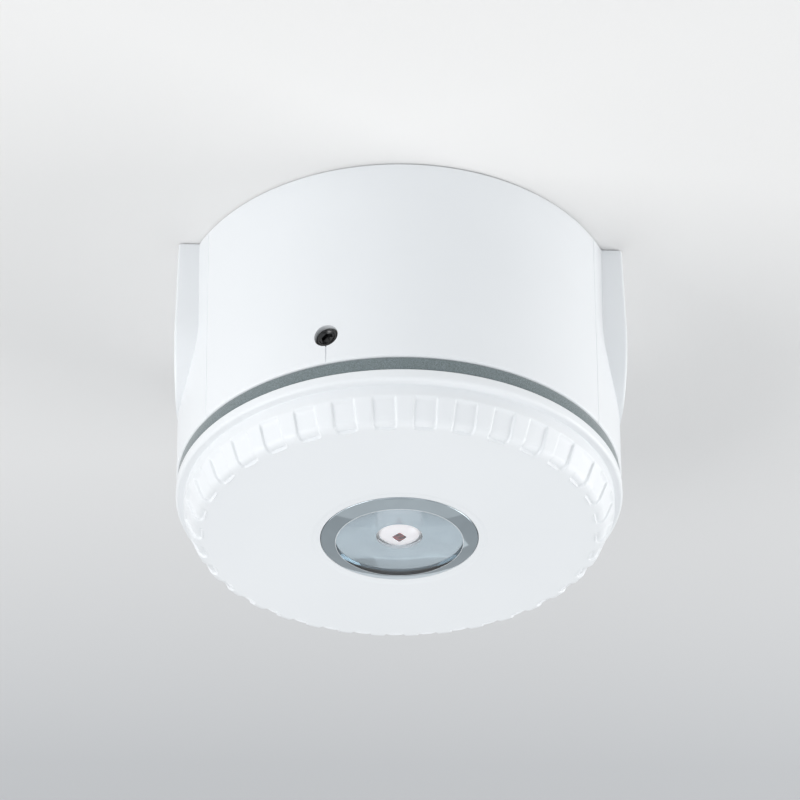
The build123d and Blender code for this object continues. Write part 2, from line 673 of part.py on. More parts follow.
def nodes():
    """Every node's name and shape."""
    made = {
        "base_housing": base_housing(),
        "ceiling_seal": ceiling_seal(),
        "base_gasket": base_gasket(),
        "cable_grommet": cable_grommet(),
        "conduit_plug_right": conduit_plug(0),
        "conduit_plug_left": conduit_plug(180),
        "contact_carrier": contact_carrier(),
        "carrier_screws": carrier_screws(),
        "terminal_clamps": terminal_clamps(),
        "terminal_screws": terminal_screws(),
        "contact_springs": contact_springs(),
        "shorting_spring": shorting_spring(),
        "lock_insert": lock_insert(),
        "lock_screw": lock_screw(),
        "lock_tip": lock_tip(),
        "front_cover": front_cover(),
        "lens": lens(),
        "lens_seal": lens_seal(),
        "reflector": reflector(),
        "reflector_screws": reflector_screws(),
        "led_lens": led_lens(),
        "led_package": led_package(),
        "led_die": led_die(),
        "led_board": led_board(),
        "led_board_screws": led_board_screws(),
        "led_header": led_header(),
        "led_header_pins": led_header_pins(),
        "control_pcb": control_pcb(),
        "capacitors": capacitors(),
        "inductor": inductor(),
        "ic_chips": ic_chips(),
        "dip_switch_body": dip_switch_body(),
        "rear_plate": rear_plate(),
        "rear_plate_screws": rear_plate_screws(),
        "cover_seal": cover_seal(),
        "contact_blades": contact_blades(),
    }
    for number in (1, 2, 3, 4):
        made[f"dip_slider_{number}"] = dip_slider(number)
    return made


os.makedirs("parts", exist_ok=True)
for name, shape in nodes().items():
    export_step(shape, f"parts/{name}.step")
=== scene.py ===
import json
from math import asin, atan2, cos, degrees, hypot, pi, radians, sin, sqrt, tan

import bmesh
import bpy
from mathutils import Matrix, Vector


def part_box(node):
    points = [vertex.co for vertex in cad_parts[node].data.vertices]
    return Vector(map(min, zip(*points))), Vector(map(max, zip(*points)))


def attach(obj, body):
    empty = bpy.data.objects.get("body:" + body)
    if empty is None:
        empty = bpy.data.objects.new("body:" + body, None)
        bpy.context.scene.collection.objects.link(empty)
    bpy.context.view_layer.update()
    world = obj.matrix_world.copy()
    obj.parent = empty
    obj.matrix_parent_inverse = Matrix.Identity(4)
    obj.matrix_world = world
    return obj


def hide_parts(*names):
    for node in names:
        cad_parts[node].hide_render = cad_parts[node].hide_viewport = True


# Ceiling visual alarm beacon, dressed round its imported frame. Sizes are in millimetres unless
# a name says otherwise. The frame has +Z up into the ceiling and the locking screw on the -Y side.
MM = 0.001

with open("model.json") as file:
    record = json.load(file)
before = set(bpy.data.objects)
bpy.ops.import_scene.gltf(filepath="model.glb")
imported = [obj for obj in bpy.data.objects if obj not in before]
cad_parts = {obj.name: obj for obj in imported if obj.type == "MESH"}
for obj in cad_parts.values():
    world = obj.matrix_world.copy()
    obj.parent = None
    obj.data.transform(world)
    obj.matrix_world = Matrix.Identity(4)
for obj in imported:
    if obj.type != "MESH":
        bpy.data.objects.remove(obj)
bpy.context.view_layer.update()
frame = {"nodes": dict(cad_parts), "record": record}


def low(node):
    """Lowest corner of a CAD node in millimetres."""
    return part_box(node)[0] / MM


def high(node):
    """Highest corner of a CAD node in millimetres."""
    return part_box(node)[1] / MM


# ---------------------------------------------------------------- driving dimensions

# Base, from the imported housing
CEILING_R = high("base_housing").y
BASE_LOW_Z = low("base_housing").z
PAD_FACE_X = high("base_housing").x
LOWER_R = 50.1
BASE_WALL = 2.4
BACK_WALL = 2.5
WALL_BITE = 0.5
BASE_LIP_R = 0.6
TOP_EDGE = 0.25
PAD_HALF_W = 24.0
PAD_H = 36.5
PAD_CORNER_R = 15.0
PAD_LEAN = 0.021
PAD_EDGE_R = 0.7
SEAM_DEG = 32.5
SEAM_HALF_W = 0.14
SEAM_DEPTH = 0.16
CAVITY_RING_R = 30.0
POST_R = 4.0
POST_HOLE_R = 1.3
PLUG_HOLE_R = 10.0
PLUG_SEAT_R = 49.2
GROMMET_HOLE_R = 10.5
SLOT_HALF_W = 2.25
SLOT_Y = 30
LOCK_LINE_W = 0.26

# Head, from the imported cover
RIM_R = high("front_cover").x
RIM_TOP = low("base_gasket").z - 0.1
FACE_Z = low("front_cover").z
LEDGE_Z = -56.5
DRUM_R = 48.0
SLOPE_TOP_Z = -59.2
SLOPE_DEG = 25.3
FACE_EDGE_R = 2.5
COVER_WALL = 2.0
LENS_HOLE_R = 17.6
DISH_R = 19.2
RECESS_COUNT = 35
RECESS_PHASE = 7.36
RECESS_HALF_W = 2.35
RECESS_DEPTH = 0.5
RECESS_INNER_R = 43.6
RECESS_TOP_Z = -59.5
RECESS_CORNER_R = 1.0
RECESS_EDGE = 0.5

# Locking screw, from its own node
LOCK_ANGLE = -109.3
LOCK_Z = (low("lock_screw").z + high("lock_screw").z) / 2
LOCK_R = (high("lock_screw").z - low("lock_screw").z) / 2
LOCK_OUT = 49.7
LOCK_IN = 46.25
LOCK_CLEARANCE = 0.15
LOCK_SOCKET = 1.4
LOCK_BORE_R = 1.25

# Lens and lamp
LENS_FRONT_Z = low("lens").z
LENS_FLANGE_R = high("lens").x
LENS_FLANGE_Z = high("lens").z
LENS_R = 17.45
LENS_FRONT_R = 14.2
LENS_BORE_R = 16.1
RIM_HIGHLIGHT_W = 0.28
WINDOW_T = 0.9
MIRROR_RIM_Z = -64.35
MIRROR_EYE_Z = -63.1
MIRROR_EYE_R = 5.2
MIRROR_R = 15.9
MIRROR_RIM_R = LENS_FRONT_R + 0.9
MIRROR_CURVE = 1.8
CHIP_SIZE = 2.0
EAR_CIRCLE_R = 23.5
EAR_ANGLES = (0, 120, 240)
POST_CIRCLE_R = 38.0
POST_ANGLES = (45, 165, 285)
BOSS_CIRCLE_R = 34.0

# Stage
CEILING_HALF = 1500.0
CEILING_GAP = 0.15
BACK_HOLE_R = CEILING_R - 1.2
LIGHT_DISTANCE = 0.9


# ---------------------------------------------------------------- mesh helpers


def spread(start, end, count):
    """Evenly spaced numbers from start to end, both included."""
    return [start + (end - start) * k / (count - 1) for k in range(count)]


def blend(edge0, edge1, value):
    """Smooth step from 0 at edge0 to 1 at edge1."""
    t = min(1.0, max(0.0, (value - edge0) / (edge1 - edge0)))
    return t * t * (3 - 2 * t)


def rounded(corners, steps=6):
    """Outline through (radius, height) corners; a third number rounds that corner."""
    outline = []
    count = len(corners)
    for k, corner in enumerate(corners):
        here = Vector(corner[:2])
        if len(corner) < 3:
            outline.append(here)
            continue
        back = (Vector(corners[k - 1][:2]) - here).normalized()
        ahead = (Vector(corners[(k + 1) % count][:2]) - here).normalized()
        half = back.angle(ahead) / 2
        centre = here + (back + ahead).normalized() * corner[2] / sin(half)
        first = here + back * corner[2] / tan(half) - centre
        last = here + ahead * corner[2] / tan(half) - centre
        sweep = first.angle_signed(last)
        for t in spread(0, 1, steps):
            outline.append(centre + Matrix.Rotation(-sweep * t, 2) @ first)
    return outline


def skin(rings, closed=False):
    """Faces between neighbouring rings of points; a ring of one point is a pole."""
    points = [p for ring in rings for p in ring]
    starts = [sum(len(r) for r in rings[:k]) for k in range(len(rings))]
    pairs = list(zip(range(len(rings) - 1), range(1, len(rings))))
    if closed:
        pairs.append((len(rings) - 1, 0))
    faces = []
    for a, b in pairs:
        na, nb = len(rings[a]), len(rings[b])
        for i in range(max(na, nb)):
            j = i + 1
            loop = [starts[a] + i % na, starts[a] + j % na, starts[b] + j % nb, starts[b] + i % nb]
            loop = list(dict.fromkeys(loop))
            if len(loop) > 2:
                faces.append(loop)
    return points, faces


def circle(radius, z, steps):
    """Ring of points about Z, the first one on +X."""
    return [(radius * cos(2 * pi * k / steps), radius * sin(2 * pi * k / steps), z) for k in range(steps)]


def lathe(outline, steps=120, closed=True):
    """Outline of (radius, height) points turned about Z."""
    rings = []
    for r, z in outline:
        rings.append([(0, 0, z)] if r < 1e-6 else circle(r, z, steps))
    return skin(rings, closed)


def placed(shape, matrix):
    """A (points, faces) shape moved by a matrix."""
    points, faces = shape
    return [tuple(matrix @ Vector(p)) for p in points], faces


def joined(*shapes):
    """Several (points, faces) shapes as one."""
    points, faces = [], []
    for more_points, more_faces in shapes:
        start = len(points)
        points.extend(more_points)
        faces.extend([[start + k for k in face] for face in more_faces])
    return points, faces


def turn(angle):
    """Rotation about Z by degrees."""
    return Matrix.Rotation(radians(angle), 4, "Z")


def at(x, y, z):
    """Placement at a point."""
    return Matrix.Translation((x, y, z))


def polar(radius, angle, z=0.0):
    """Placement at a radius and angle, local X pointing outwards."""
    return turn(angle) @ at(radius, 0, z)


SIDEWAYS = Matrix.Rotation(radians(90), 4, "Y")


def outwards(angle, z):
    """Placement on a radial axis, local Z pointing outwards from the middle of the part."""
    return turn(angle) @ at(0, 0, z) @ SIDEWAYS


def box_shape(size_x, size_y, size_z):
    """Box centred on the origin."""
    corners = [(x, y, z) for x in (-1, 1) for y in (-1, 1) for z in (-1, 1)]
    points = [(x * size_x / 2, y * size_y / 2, z * size_z / 2) for x, y, z in corners]
    faces = [[0, 1, 3, 2], [4, 6, 7, 5], [0, 4, 5, 1], [2, 3, 7, 6], [0, 2, 6, 4], [1, 5, 7, 3]]
    return points, faces


def plain_mesh(name, shape):
    """Mesh object in metres with merged points and outward faces."""
    points, faces = shape
    mesh = bpy.data.meshes.new(name)
    mesh.from_pydata([(x * MM, y * MM, z * MM) for x, y, z in points], [], faces)
    work = bmesh.new()
    work.from_mesh(mesh)
    bmesh.ops.remove_doubles(work, verts=work.verts, dist=1e-3 * MM)
    bmesh.ops.recalc_face_normals(work, faces=work.faces)
    work.to_mesh(mesh)
    work.free()
    piece = bpy.data.objects.new(name, mesh)
    bpy.context.scene.collection.objects.link(piece)
    return piece


def carved(piece, shape, operation):
    """Applies a boolean of a closed shape to a piece."""
    tool = plain_mesh("tool", shape)
    step = piece.modifiers.new("carve", "BOOLEAN")
    step.operation = operation
    step.solver = "EXACT"
    step.use_self = True
    step.object = tool
    graph = bpy.context.evaluated_depsgraph_get()
    made = bpy.data.meshes.new_from_object(piece.evaluated_get(graph))
    piece.modifiers.clear()
    piece.data = made
    bpy.data.objects.remove(tool)


def smooth(piece, angle=32.0):
    """Shades a piece smooth, with edges sharper than the angle kept crisp."""
    mesh = piece.data
    mesh.shade_smooth()
    work = bmesh.new()
    work.from_mesh(mesh)
    for edge in work.edges:
        if len(edge.link_faces) == 2 and edge.calc_face_angle() > radians(angle):
            edge.smooth = False
    work.to_mesh(mesh)
    work.free()


def dress(piece, slot, body, *nodes):
    """Gives a piece its material, its body and the CAD nodes it stands for."""
    smooth(piece)
    piece.data.materials.clear()
    piece.data.materials.append(MATERIALS[slot])
    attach(piece, body)
    if nodes:
        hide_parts(*nodes)
    return piece


def disc_shape(radius, start, end, steps=64):
    """Solid disc or rod about Z between two heights."""
    return lathe([(0, start), (radius, start), (radius, end), (0, end)], steps, closed=False)


def tube(outer, inner, start, end, steps=36):
    """Tube about Z between two heights."""
    return lathe([(inner, start), (outer, start), (outer, end), (inner, end)], steps)


def prism(outline, start, end):
    """Solid with a flat outline between two heights; the outline is star-shaped about its middle."""
    middle = [sum(p[axis] for p in outline) / len(outline) for axis in (0, 1)]
    rings = [[(*middle, start)]]
    for z in (start, end):
        rings.append([(x, y, z) for x, y in outline])
    rings.append([(*middle, end)])
    return skin(rings)


def soft_square(size, z, corner):
    """Square ring with rounded corners, centred on Z."""
    ring = []
    straight = size / 2 - corner
    for k, (sx, sy) in enumerate(((1, 1), (-1, 1), (-1, -1), (1, -1))):
        for a in spread(k * pi / 2, (k + 1) * pi / 2, 6):
            ring.append((sx * straight + corner * cos(a), sy * straight + corner * sin(a), z))
    return ring


def divided(outline, limit):
    """Outline with extra points wherever a stretch is longer than limit(point) allows."""
    made = []
    for here, ahead in zip(outline, outline[1:]):
        pieces = max(1, round((ahead - here).length / limit((here + ahead) / 2) + 0.4))
        made.extend(here.lerp(ahead, k / pieces) for k in range(pieces))
    return made + [outline[-1]]


# ---------------------------------------------------------------- materials


class Finish:
    """A node material built round one Principled shader, in millimetres on the object."""

    def __init__(self, name, **sockets):
        self.material = bpy.data.materials.new(name)
        self.material.use_nodes = True
        self.nodes = self.material.node_tree.nodes
        self.links = self.material.node_tree.links
        self.shader = self.nodes["Principled BSDF"]
        self.place = self.nodes.new("ShaderNodeTexCoord").outputs["Object"]
        for socket, value in sockets.items():
            self.shader.inputs[socket.replace("_", " ")].default_value = value

    def noise(self, size, detail=3.0, stretch=(1, 1, 1)):
        """Noise whose cells are about size millimetres across."""
        mapping = self.nodes.new("ShaderNodeMapping")
        mapping.inputs["Scale"].default_value = [s / (size * MM) for s in stretch]
        self.links.new(self.place, mapping.inputs["Vector"])
        texture = self.nodes.new("ShaderNodeTexNoise")
        texture.inputs["Scale"].default_value = 1.0
        texture.inputs["Detail"].default_value = detail
        self.links.new(mapping.outputs["Vector"], texture.inputs["Vector"])
        return texture.outputs["Fac"]

    def ramp(self, factor, dark, light, start=0.3, end=0.7):
        """Colour between two colours by a factor."""
        ramp = self.nodes.new("ShaderNodeValToRGB")
        ramp.color_ramp.elements[0].position = start
        ramp.color_ramp.elements[1].position = end
        ramp.color_ramp.elements[0].color = (*dark, 1)
        ramp.color_ramp.elements[1].color = (*light, 1)
        self.links.new(factor, ramp.inputs["Fac"])
        return ramp.outputs["Color"]

    def scaled(self, factor, bottom, top):
        """Number between two limits by a factor."""
        mapped = self.nodes.new("ShaderNodeMapRange")
        mapped.inputs["To Min"].default_value = bottom
        mapped.inputs["To Max"].default_value = top
        self.links.new(factor, mapped.inputs["Value"])
        return mapped.outputs["Result"]

    def wire(self, output, socket):
        """Links an output to a socket of the shader."""
        self.links.new(output, self.shader.inputs[socket])

    def bump(self, factor, height, strength=1.0):
        """Relief of a height in millimetres."""
        node = self.nodes.new("ShaderNodeBump")
        node.inputs["Distance"].default_value = height * MM
        node.inputs["Strength"].default_value = strength
        self.links.new(factor, node.inputs["Height"])
        self.wire(node.outputs["Normal"], "Normal")


def shade(colour, share):
    """Colour darkened to a share of itself."""
    return tuple(c * share for c in colour)


def moulded(name, colour, rough, grain=0.35, relief=0.004, **sockets):
    """Moulded plastic: faint flow marks, a fine spark grain and slightly uneven gloss."""
    finish = Finish(name, **sockets)
    flow = finish.noise(38.0, 2.0)
    finish.wire(finish.ramp(flow, shade(colour, 0.975), colour), "Base Color")
    finish.wire(finish.scaled(finish.noise(9.0), rough - 0.05, rough + 0.05), "Roughness")
    finish.bump(finish.noise(grain, 1.0), relief)
    return finish.material


def rubber(name, dark, light, grain, relief):
    """Rubber or foam: speckled, dull and slightly velvety."""
    finish = Finish(name, Specular_IOR_Level=0.3, Sheen_Weight=0.8, Sheen_Roughness=0.4)
    speckle = finish.noise(grain, 4.0)
    finish.wire(finish.ramp(speckle, dark, light), "Base Color")
    finish.wire(finish.scaled(finish.noise(4.0), 0.72, 0.9), "Roughness")
    finish.bump(speckle, relief)
    return finish.material


def metal(name, colour, rough, grain=0.4, stretch=(1, 1, 1), relief=0.002):
    """Metal with tool marks along one direction and small changes of gloss and tint."""
    finish = Finish(name, Metallic=1.0)
    marks = finish.noise(grain, 2.0, stretch)
    finish.wire(finish.ramp(finish.noise(6.0), shade(colour, 0.9), colour), "Base Color")
    finish.wire(finish.scaled(marks, rough - 0.04, rough + 0.1), "Roughness")
    finish.bump(marks, relief)
    return finish.material


def clear(name, tint, ripple):
    """Clear polished plastic with a faint flow ripple."""
    finish = Finish(name, Transmission_Weight=1.0, IOR=1.49)
    flow = finish.noise(14.0, 1.0)
    finish.wire(finish.ramp(flow, shade(tint, 0.985), tint), "Base Color")
    finish.wire(finish.scaled(flow, 0.0, 0.02), "Roughness")
    finish.bump(flow, ripple, 0.4)
    return finish.material


def mirror(name, colour):
    """Vacuum-metallised plastic: nearly sharp, with faint waves of the moulding under it."""
    finish = Finish(name, Metallic=1.0)
    waves = finish.noise(5.0, 1.0)
    finish.wire(finish.ramp(waves, shade(colour, 0.94), colour), "Base Color")
    finish.wire(finish.scaled(finish.noise(2.0), 0.03, 0.09), "Roughness")
    finish.bump(waves, 0.004)
    return finish.material


def solder_mask(name):
    """Green board with paler lines where copper tracks run under the mask."""
    finish = Finish(name, Coat_Weight=0.5, Coat_Roughness=0.15)
    tracks = finish.noise(5.0, 0.0, (1, 0.25, 1))
    finish.wire(finish.ramp(tracks, (0.005, 0.06, 0.02), (0.012, 0.11, 0.04), 0.48, 0.5), "Base Color")
    finish.wire(finish.scaled(finish.noise(2.0), 0.3, 0.45), "Roughness")
    finish.bump(tracks, 0.03)
    return finish.material


def lamp_chip(name):
    """Dark coated chip with a red lower layer and fine electrode lines."""
    finish = Finish(name, Coat_Weight=0.8, Coat_Roughness=0.1)
    lines = finish.noise(0.35, 1.0, (0.2, 1, 1))
    finish.wire(finish.ramp(lines, (0.02, 0.002, 0.002), (0.6, 0.02, 0.015), 0.42, 0.6), "Base Color")
    finish.wire(finish.scaled(lines, 0.2, 0.45), "Roughness")
    finish.bump(lines, 0.01)
    return finish.material


WHITE = (0.83, 0.845, 0.86)
MATERIALS = {
    "housing_white": moulded("housing_white", WHITE, 0.42, 0.3, 0.003, Coat_Weight=0.08, Coat_Roughness=0.3),
    "gasket_grey": rubber("gasket_grey", (0.10, 0.125, 0.13), (0.24, 0.285, 0.295), 0.22, 0.05),
    "seal_black": rubber("seal_black", (0.012, 0.012, 0.013), (0.03, 0.03, 0.032), 0.5, 0.03),
    "carrier_plastic": moulded("carrier_plastic", (0.55, 0.56, 0.57), 0.5, 0.5, 0.01),
    "plate_plastic": moulded("plate_plastic", (0.66, 0.67, 0.68), 0.5, 0.5, 0.01),
    "brass": metal("brass", (0.72, 0.5, 0.2), 0.28, 0.3, (1, 6, 1)),
    "screw_steel": metal("screw_steel", (0.62, 0.63, 0.65), 0.3, 0.3, (5, 1, 1)),
    "contact_bronze": metal("contact_bronze", (0.62, 0.38, 0.18), 0.25, 0.4, (1, 8, 1)),
    "lock_black": moulded(
        "lock_black", (0.003, 0.003, 0.0035), 0.22, 0.5, 0.004, Coat_Weight=0.3, Coat_Roughness=0.1
    ),
    "tip_nylon": moulded("tip_nylon", (0.7, 0.69, 0.62), 0.45, 0.5, 0.01, Subsurface_Weight=0.1),
    "lens_clear": clear("lens_clear", (0.96, 0.985, 1.0), 0.004),
    "reflector_chrome": mirror("reflector_chrome", (0.60, 0.67, 0.71)),
    # Painted highlight: an opaque pale band standing for the bright line that the lens's rounded front rim
    # catches.
    "painted_rim_highlight": moulded("painted_rim_highlight", (0.86, 0.88, 0.9), 0.4, 0.5, 0.004),
    # Painted light: the package's faint emission stands in for light reaching it through the clear dome and
    # window; the lamp is not lit.
    "led_ceramic": moulded(
        "led_ceramic", (0.9, 0.87, 0.86), 0.3, 0.6, 0.004,
        Emission_Color=(1, 0.94, 0.95, 1), Emission_Strength=0.6,
    ),
    "die_red": lamp_chip("die_red"),
    "board_aluminium": moulded("board_aluminium", (0.86, 0.86, 0.85), 0.35, 0.5, 0.004, Coat_Weight=0.4),
    "pcb_green": solder_mask("pcb_green"),
    "can_aluminium": metal("can_aluminium", (0.68, 0.69, 0.71), 0.25, 0.3, (1, 1, 0.1)),
    "ferrite": moulded("ferrite", (0.03, 0.03, 0.032), 0.6, 0.3, 0.02),
    "chip_black": moulded("chip_black", (0.015, 0.015, 0.016), 0.55, 0.2, 0.01),
    "header_black": moulded("header_black", (0.02, 0.02, 0.02), 0.5, 0.3, 0.01),
    "switch_red": moulded("switch_red", (0.35, 0.02, 0.015), 0.42, 0.4, 0.006),
    "switch_white": moulded("switch_white", (0.8, 0.8, 0.77), 0.4, 0.4, 0.004),
}


# ---------------------------------------------------------------- base housing


def wall_r(z):
    """Outer radius of the housing's wall at a height."""
    return CEILING_R - (CEILING_R - LOWER_R) * z / BASE_LOW_Z


def pad_half(z):
    """Half width of a conduit pad at a height, along its rounded lower corners."""
    below = max(0.0, -z - (PAD_H - PAD_CORNER_R))
    return PAD_HALF_W - PAD_CORNER_R + sqrt(max(0.0, PAD_CORNER_R ** 2 - below ** 2))


# Points of a quarter outline ahead of the seam: pad face, its corner, the step beside it and the wall
SEAM_PLACE = 8 + 6 + 1 + 5


def quarter(z, inset, pad):
    """Quarter of the housing's outline at a height, from the middle of a pad to the front."""
    radius = wall_r(z) - inset
    width = pad_half(max(z, -PAD_H)) - inset
    edge_x = sqrt(radius ** 2 - width ** 2)
    face_x = PAD_FACE_X + PAD_LEAN * z - inset
    fillet = min(PAD_EDGE_R, max(0.0, face_x - edge_x) * 0.7)
    points = [(face_x, y) for y in spread(0, width - fillet, 9)[:-1]]
    for a in spread(0, pi / 2, 6):
        points.append((face_x - fillet + fillet * cos(a), width - fillet + fillet * sin(a)))
    points.append(((face_x - fillet + edge_x) / 2, width))
    if not pad:
        points = [(sqrt(radius ** 2 - y ** 2), y) for _, y in points]
    seam = radians(SEAM_DEG)
    half_seam = SEAM_HALF_W / radius
    for a in spread(asin(width / radius), seam - half_seam, 5) + spread(seam + half_seam, pi / 2, 42):
        points.append((radius * cos(a), radius * sin(a)))
        if len(points) == SEAM_PLACE:
            points.append(((radius - SEAM_DEPTH) * cos(seam), (radius - SEAM_DEPTH) * sin(seam)))
    return points


def housing_ring(z, inset=0.0, pad=True):
    """Housing's outline at a height as a closed ring."""
    part = quarter(z, inset, pad)
    ring = part + [(-x, y) for x, y in reversed(part[:-1])]
    ring += [(-x, -y) for x, y in part[1:]] + [(x, -y) for x, y in reversed(part[1:-1])]
    return [(x, y, z) for x, y in ring]


def circle_like(ring, radius, z):
    """Circle with one point at the angle of each point of a ring."""
    angles = [atan2(y, x) for x, y, _ in ring]
    return [(radius * cos(a), radius * sin(a), z) for a in angles]


def housing_shell():
    """Drum with its two conduit pads, its cavity and the groove of the ceiling seal."""
    pad_low = PAD_H - PAD_CORNER_R
    heights = spread(-TOP_EDGE, -pad_low, 8)
    heights += [-pad_low - PAD_CORNER_R * sin(a) for a in spread(0, pi / 2, 14)[1:]]
    outer = [housing_ring(z) for z in heights]
    straight_end = BASE_LOW_Z + BASE_LIP_R
    outer += [housing_ring(z, pad=False) for z in spread(-PAD_H, straight_end, 6)]
    for a in spread(0, pi / 2, 6)[1:]:
        ring = housing_ring(straight_end, BASE_LIP_R * (1 - cos(a)), False)
        outer.append([(x, y, straight_end - BASE_LIP_R * sin(a)) for x, y, _ in ring])
    like = outer[0]
    roof = -BACK_WALL
    inner = [circle_like(like, LOWER_R - BASE_WALL, BASE_LOW_Z)]
    inner += [circle_like(like, wall_r(z) - BASE_WALL, z) for z in spread(BASE_LOW_Z + 1, roof, 8)]
    inner += [circle_like(like, CAVITY_RING_R, roof), [(0, 0, roof)]]
    seal_low = low("ceiling_seal").z
    seal_out = high("ceiling_seal").x + 0.15
    seal_in = seal_out - 3.0
    groove = ((seal_in, 0), (seal_in, seal_low), (seal_out, seal_low), (seal_out, 0))
    top = [[(0, 0, 0)], circle_like(like, CAVITY_RING_R, 0)]
    top += [circle_like(like, r, z) for r, z in groove]
    edge = housing_ring(-TOP_EDGE, TOP_EDGE)
    top.append([(x, y, 0) for x, y, _ in edge])
    return skin(top + outer + inner)


def build_housing():
    """Housing with its posts and lock boss, cut by every hole and by the fine line under the lock."""
    housing = plain_mesh("housing", housing_shell())
    roof_cut = -BACK_WALL + WALL_BITE
    post = disc_shape(POST_R, high("contact_carrier").z, roof_cut, 40)
    posts = [placed(post, polar(POST_CIRCLE_R, a)) for a in POST_ANGLES]
    conduit_z = (low("conduit_plug_right").z + high("conduit_plug_right").z) / 2
    flange_r = (high("conduit_plug_right").z - low("conduit_plug_right").z) / 2
    pad_inside = 45.5
    depth = 4.7
    block_low = conduit_z - flange_r - 2.5
    block = box_shape(depth, 30, roof_cut - block_low)
    block_place = at(pad_inside + depth / 2, 0, (roof_cut + block_low) / 2)
    blocks = [placed(block, turn(side) @ block_place) for side in (0, 180)]
    lock_place = outwards(LOCK_ANGLE, LOCK_Z)
    boss = placed(disc_shape(4.6, LOCK_IN + 0.15, 49.4, 48), lock_place)
    carved(housing, joined(*posts, *blocks, boss), "UNION")
    post_hole = disc_shape(POST_HOLE_R, -45, -21, 24)
    holes = [placed(post_hole, polar(POST_CIRCLE_R, a)) for a in POST_ANGLES]
    for side in (0, 180):
        holes.append(placed(disc_shape(PLUG_HOLE_R, 40, 49.5, 72), outwards(side, conduit_z)))
        holes.append(placed(disc_shape(flange_r + 0.2, PLUG_SEAT_R, 54, 96), outwards(side, conduit_z)))
    entry_x = (low("cable_grommet").x + high("cable_grommet").x) / 2
    holes.append(placed(disc_shape(GROMMET_HOLE_R, -BACK_WALL - 1, 1, 72), at(entry_x, 0, 0)))
    slot = [
        (SLOT_HALF_W * cos(a), side * SLOT_HALF_W + SLOT_HALF_W * sin(a))
        for side, start in ((1, 0), (-1, pi)) for a in spread(start, start + pi, 12)
    ]
    for y in (-SLOT_Y, SLOT_Y):
        holes.append(placed(prism(slot, -BACK_WALL - 1, 1), at(0, y, 0)))
    lock_hole_r = LOCK_R + LOCK_CLEARANCE
    holes.append(placed(disc_shape(lock_hole_r, 49.0, 54, 40), lock_place))
    holes.append(placed(disc_shape(3.6, LOCK_IN - 2, 48.8, 48), lock_place))
    holes.append(placed(disc_shape(lock_hole_r, 48.5, 49.5, 40), lock_place))
    line_top = LOCK_Z - LOCK_R - 0.1
    line = box_shape(0.4, LOCK_LINE_W, line_top - BASE_LOW_Z + 1)
    holes.append(placed(line, polar(wall_r(LOCK_Z - 5), LOCK_ANGLE, (line_top + BASE_LOW_Z - 1) / 2)))
    carved(housing, joined(*holes), "DIFFERENCE")
    return dress(housing, "housing_white", "base", "base_housing")


build_housing()


# ---------------------------------------------------------------- base gasket, seal and grommet


def build_gasket():
    """Foam ring between base and head, with the lip that centres it in the base."""
    top = BASE_LOW_Z
    bottom = low("base_gasket").z
    outer = high("base_gasket").x
    inner = 46.4
    lip = LOWER_R - BASE_WALL - 0.1
    outline = rounded([
        (outer, top, 0.35), (outer, bottom, 0.35), (inner, bottom), (inner, high("base_gasket").z),
        (lip, high("base_gasket").z), (lip, top),
    ])
    gasket = plain_mesh("gasket", lathe(outline, 240))
    notch = placed(disc_shape(4.9, LOCK_IN - 1, LOWER_R + 1, 48), outwards(LOCK_ANGLE, LOCK_Z))
    carved(gasket, notch, "DIFFERENCE")
    dress(gasket, "gasket_grey", "base", "base_gasket")


def build_ceiling_seal():
    """Rubber ring with two raised beads that press on the ceiling."""
    outer = high("ceiling_seal").x
    inner = outer - 2.7
    bottom = low("ceiling_seal").z
    third = (outer - inner) / 4
    outline = rounded([
        (inner, bottom, 0.3), (inner, -0.5), (inner + third, 0, 0.4), (inner + 2 * third, -0.5, 0.3),
        (inner + 3 * third, 0, 0.4), (outer, -0.5), (outer, bottom, 0.3),
    ])
    seal = plain_mesh("ceiling_ring", lathe(outline, 200))
    dress(seal, "seal_black", "base", "ceiling_seal")


def build_grommet():
    """Cable grommet with a flange and stepped rings round its bore."""
    box_low, box_high = low("cable_grommet"), high("cable_grommet")
    flange = (box_high.x - box_low.x) / 2
    neck = flange - 2.05
    top = box_high.z
    under_wall = -BACK_WALL - 0.02
    outline = rounded([
        (5.0, top - 0.7, 0.2), (7.2, top - 0.7, 0.2), (7.6, top - 1.2, 0.2), (8.3, top - 1.2, 0.2),
        (8.7, top, 0.2), (neck, top, 0.3), (neck, under_wall), (flange, under_wall, 0.3),
        (flange, box_low.z, 0.3), (6.4, box_low.z, 0.3), (5.0, box_low.z + 0.8, 0.2),
    ])
    grommet = plain_mesh("grommet", placed(lathe(outline, 96), at((box_low.x + box_high.x) / 2, 0, 0)))
    dress(grommet, "seal_black", "base", "cable_grommet")


build_gasket()
build_ceiling_seal()
build_grommet()


# ---------------------------------------------------------------- conduit plugs


def build_plug(name, side):
    """Blanking plug with a dished face, a rim and a coin slot."""
    node = f"conduit_plug_{name}"
    middle_z = (low(node).z + high(node).z) / 2
    flange = (high(node).z - low(node).z) / 2
    face = max(abs(low(node).x), abs(high(node).x))
    inside = min(abs(low(node).x), abs(high(node).x))
    seat = PLUG_SEAT_R
    outline = rounded([
        (0, face - 0.35), (flange - 2.2, face - 0.35, 0.3), (flange - 1.8, face, 0.15), (flange, face, 0.45),
        (flange, seat), (9.9, seat), (9.9, inside + 0.4, 0.4), (9.4, inside), (8.0, inside),
        (8.0, seat - 1.0, 0.5), (0, seat - 1.0),
    ])
    place = outwards(side, middle_z)
    plug = plain_mesh(f"plug_{name}", placed(lathe(outline, 96, closed=False), place))
    slot = placed(box_shape(2.0, 14.0, 2.0), place @ at(0, 0, face - 0.8 + 1.0))
    carved(plug, slot, "DIFFERENCE")
    dress(plug, "housing_white", "base", node)


build_plug("right", 0)
build_plug("left", 180)


# ---------------------------------------------------------------- locking screw


